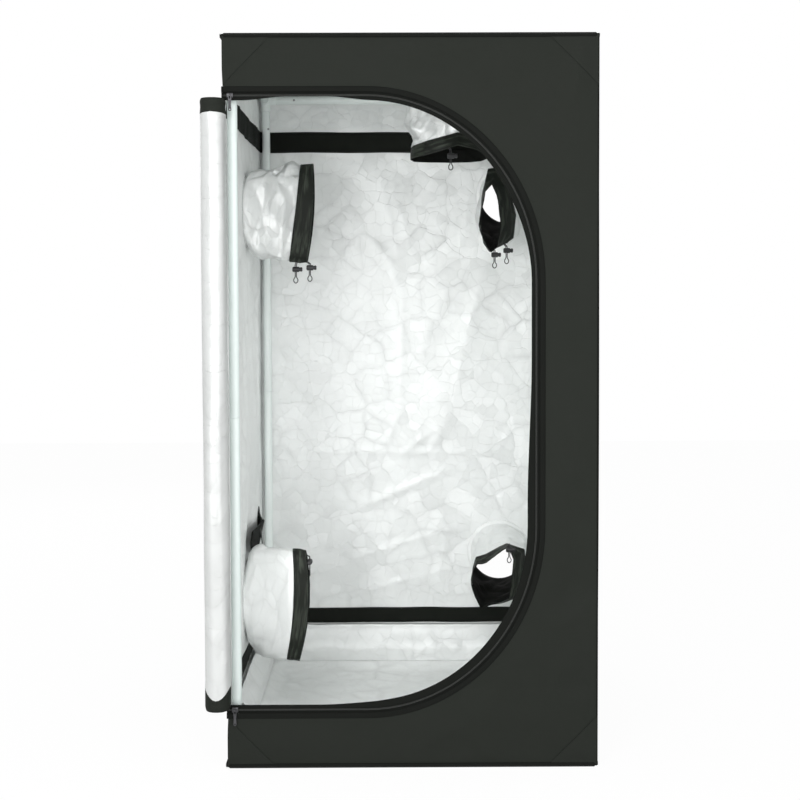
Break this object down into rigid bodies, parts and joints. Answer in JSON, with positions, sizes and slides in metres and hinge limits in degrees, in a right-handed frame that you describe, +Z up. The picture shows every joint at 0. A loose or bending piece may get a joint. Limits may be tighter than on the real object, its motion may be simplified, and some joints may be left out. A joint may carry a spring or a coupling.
{
  "type": "indoor grow tent",
  "caption": "Tall box-shaped indoor grow tent on a white push-fit tube frame, with a rolled-up D-shaped door, a silver-lined inside, a floor tray and cloth duct sleeves with cord locks.",
  "frame": {"origin": "centre of the underside of the floor panel, in the plane that the tent stands on", "axes": "+Z up along the posts, -Y out through the doorway, +X to the right as seen from the front; the door's hinge line is at -X"},
  "size_m": [0.8591, 0.8766, 1.6],
  "materials": {
    "white_steel": "bluish white powder coat",
    "black_cloth": "plain-woven oxford cloth, silver film on its inner face",
    "silver_film": "silver film, lightly crinkled",
    "black_tape": "woven tape",
    "black_plastic": "moulded, satin",
    "dark_metal": "black, half gloss"
  },
  "bodies": {
    "tent": {"back_wall": "black_cloth", "cable_sleeve": "black_cloth", "corner_bottom_back_left": "white_steel", "corner_bottom_back_right": "white_steel", "corner_bottom_front_left": "white_steel", "corner_bottom_front_right": "white_steel", "corner_top_back_left": "white_steel", "corner_top_back_right": "white_steel", "corner_top_front_left": "white_steel", "corner_top_front_right": "white_steel", "floor_panel": "black_cloth", "floor_tray": "silver_film", "front_panel": "black_cloth", "left_wall": "black_cloth", "lower_wall_band": "black_tape", "post_lower_back_left": "white_steel", "post_lower_back_right": "white_steel", "post_lower_front_left": "white_steel", "post_lower_front_right": "white_steel", "post_upper_back_left": "white_steel", "post_upper_back_right": "white_steel", "post_upper_front_left": "white_steel", "post_upper_front_right": "white_steel", "rail_bottom_back": "white_steel", "rail_bottom_front": "white_steel", "rail_bottom_left": "white_steel", "rail_bottom_right": "white_steel", "rail_top_back": "white_steel", "rail_top_front": "white_steel", "rail_top_left": "white_steel", "rail_top_right": "white_steel", "right_wall": "black_cloth", "roof_panel": "black_cloth", "sleeve_back_lower": "silver_film", "sleeve_back_upper": "silver_film", "sleeve_left_lower": "silver_film", "sleeve_left_upper": "silver_film", "sleeve_roof": "silver_film", "upper_wall_band": "black_tape", "zip_tape": "black_tape"},
    "cord_lock_back_lower": {"cord_lock_back_lower": "black_plastic"},
    "cord_lock_back_upper_left": {"cord_lock_back_upper_left": "black_plastic"},
    "cord_lock_back_upper_right": {"cord_lock_back_upper_right": "black_plastic"},
    "cord_lock_left_lower": {"cord_lock_left_lower": "black_plastic"},
    "cord_lock_left_upper": {"cord_lock_left_upper": "black_plastic"},
    "cord_lock_roof": {"cord_lock_roof": "black_plastic"},
    "door_roll": {"door_roll": "silver_film"},
    "hanging_bar_back": {"hanging_bar_back": "white_steel"},
    "hanging_bar_front": {"hanging_bar_front": "white_steel"},
    "lock_button_back_lower": {"lock_button_back_lower": "black_plastic"},
    "lock_button_back_upper_left": {"lock_button_back_upper_left": "black_plastic"},
    "lock_button_back_upper_right": {"lock_button_back_upper_right": "black_plastic"},
    "lock_button_left_lower": {"lock_button_left_lower": "black_plastic"},
    "lock_button_left_upper": {"lock_button_left_upper": "black_plastic"},
    "lock_button_roof": {"lock_button_roof": "black_plastic"},
    "zip_pull_lower": {"zip_pull_lower": "dark_metal"},
    "zip_pull_upper": {"zip_pull_upper": "dark_metal"},
    "zip_slider_lower": {"zip_slider_lower": "dark_metal"},
    "zip_slider_upper": {"zip_slider_upper": "dark_metal"}
  },
  "joints": [
    {"name": "door_swing", "type": "hinge", "parent": "tent", "child": "door_roll", "pos_m": [-0.40525, -0.40525, 0.798], "axis": [0, 0, 1], "range_deg": [-90, 20]},
    {"name": "bar_front_slide", "type": "slide", "parent": "tent", "child": "hanging_bar_front", "axis": [0, 1, 0], "range_m": [-0.14, 0.13]},
    {"name": "bar_back_slide", "type": "slide", "parent": "tent", "child": "hanging_bar_back", "axis": [0, 1, 0], "range_m": [-0.03, 0.055]},
    {"name": "zip_upper_slide", "type": "slide", "parent": "tent", "child": "zip_slider_upper", "axis": [1, 0, 0], "range_m": [0, 0.28]},
    {"name": "zip_upper_pull_swing", "type": "hinge", "parent": "zip_slider_upper", "child": "zip_pull_upper", "pos_m": [-0.3875, -0.4119, 1.4665], "axis": [1, 0, 0], "range_deg": [-170, 0]},
    {"name": "zip_lower_slide", "type": "slide", "parent": "tent", "child": "zip_slider_lower", "axis": [1, 0, 0], "range_m": [0, 0.28]},
    {"name": "zip_lower_pull_swing", "type": "hinge", "parent": "zip_slider_lower", "child": "zip_pull_lower", "pos_m": [-0.3875, -0.4119, 0.1295], "axis": [1, 0, 0], "range_deg": [-170, 0]},
    {"name": "left_upper_lock_slide", "type": "slide", "parent": "tent", "child": "cord_lock_left_upper", "axis": [0, 0, 1], "range_m": [-0.012, 0]},
    {"name": "left_upper_button_press", "type": "slide", "parent": "cord_lock_left_upper", "child": "lock_button_left_upper", "axis": [-1, 0, 0], "range_m": [0, 0.003], "stiffness_N_per_m": 200},
    {"name": "left_lower_lock_slide", "type": "slide", "parent": "tent", "child": "cord_lock_left_lower", "axis": [0, 0, 1], "range_m": [-0.012, 0]},
    {"name": "left_lower_button_press", "type": "slide", "parent": "cord_lock_left_lower", "child": "lock_button_left_lower", "axis": [0, 1, 0], "range_m": [0, 0.003], "stiffness_N_per_m": 200},
    {"name": "roof_lock_slide", "type": "slide", "parent": "tent", "child": "cord_lock_roof", "axis": [0, 0, 1], "range_m": [-0.012, 0]},
    {"name": "roof_button_press", "type": "slide", "parent": "cord_lock_roof", "child": "lock_button_roof", "axis": [-1, 0, 0], "range_m": [0, 0.003], "stiffness_N_per_m": 200},
    {"name": "back_upper_left_lock_slide", "type": "slide", "parent": "tent", "child": "cord_lock_back_upper_left", "axis": [0, 0, 1], "range_m": [-0.012, 0]},
    {"name": "back_upper_left_button_press", "type": "slide", "parent": "cord_lock_back_upper_left", "child": "lock_button_back_upper_left", "axis": [-1, 0, 0], "range_m": [0, 0.003], "stiffness_N_per_m": 200},
    {"name": "back_upper_right_lock_slide", "type": "slide", "parent": "tent", "child": "cord_lock_back_upper_right", "axis": [0, 0, 1], "range_m": [-0.012, 0]},
    {"name": "back_upper_right_button_press", "type": "slide", "parent": "cord_lock_back_upper_right", "child": "lock_button_back_upper_right", "axis": [-1, 0, 0], "range_m": [0, 0.003], "stiffness_N_per_m": 200},
    {"name": "back_lower_lock_slide", "type": "slide", "parent": "tent", "child": "cord_lock_back_lower", "axis": [0, 0, 1], "range_m": [-0.012, 0]},
    {"name": "back_lower_button_press", "type": "slide", "parent": "cord_lock_back_lower", "child": "lock_button_back_lower", "axis": [-1, 0, 0], "range_m": [0, 0.003], "stiffness_N_per_m": 200}
  ]
}
